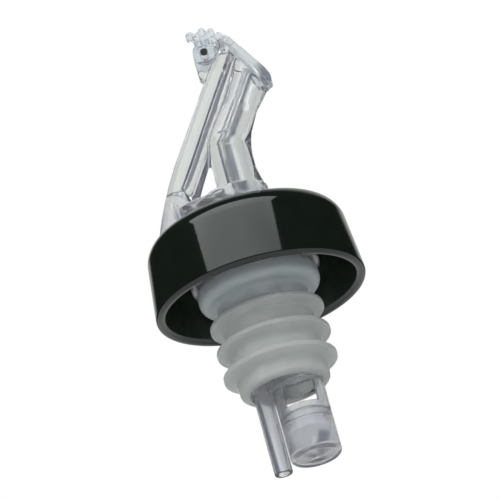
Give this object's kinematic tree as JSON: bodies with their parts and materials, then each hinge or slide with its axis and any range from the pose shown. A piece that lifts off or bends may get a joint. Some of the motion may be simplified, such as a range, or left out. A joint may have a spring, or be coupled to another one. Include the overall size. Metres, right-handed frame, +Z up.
{
  "type": "liquor pourer",
  "caption": "Bottle-top liquor pourer: clear leaning spout with a hinged flip lid and breather arm, black collar, finned cork, and a clear tail with a timing ball.",
  "frame": {"origin": "on the cork's axis, in the middle of the top fin", "axes": "+Z up along the cork's axis, out of the bottle; +X towards the side that pours"},
  "size_m": [0.045, 0.045, 0.1007],
  "materials": {
    "clear_plastic": "clear, polished",
    "black_plastic": "high gloss",
    "milky_plastic": "milky, satin",
    "dark_steel": "dark"
  },
  "bodies": {
    "body": {"spout_body": "clear_plastic", "hinge_pin": "dark_steel", "collar": "black_plastic", "cork": "milky_plastic", "tail_body": "clear_plastic", "timing_cup": "clear_plastic", "air_tube": "clear_plastic"},
    "lid": {"flip_lid": "clear_plastic"},
    "ball": {"timing_ball": "clear_plastic"}
  },
  "joints": [
    {"name": "lid_hinge", "type": "hinge", "parent": "body", "child": "lid", "pos_m": [0.00208, 0, 0.06008], "axis": [0, -1, 0], "range_deg": [0, 95]},
    {"name": "ball_travel", "type": "slide", "parent": "body", "child": "ball", "axis": [0, 0, 1], "range_m": [0, 0.0288]}
  ]
}
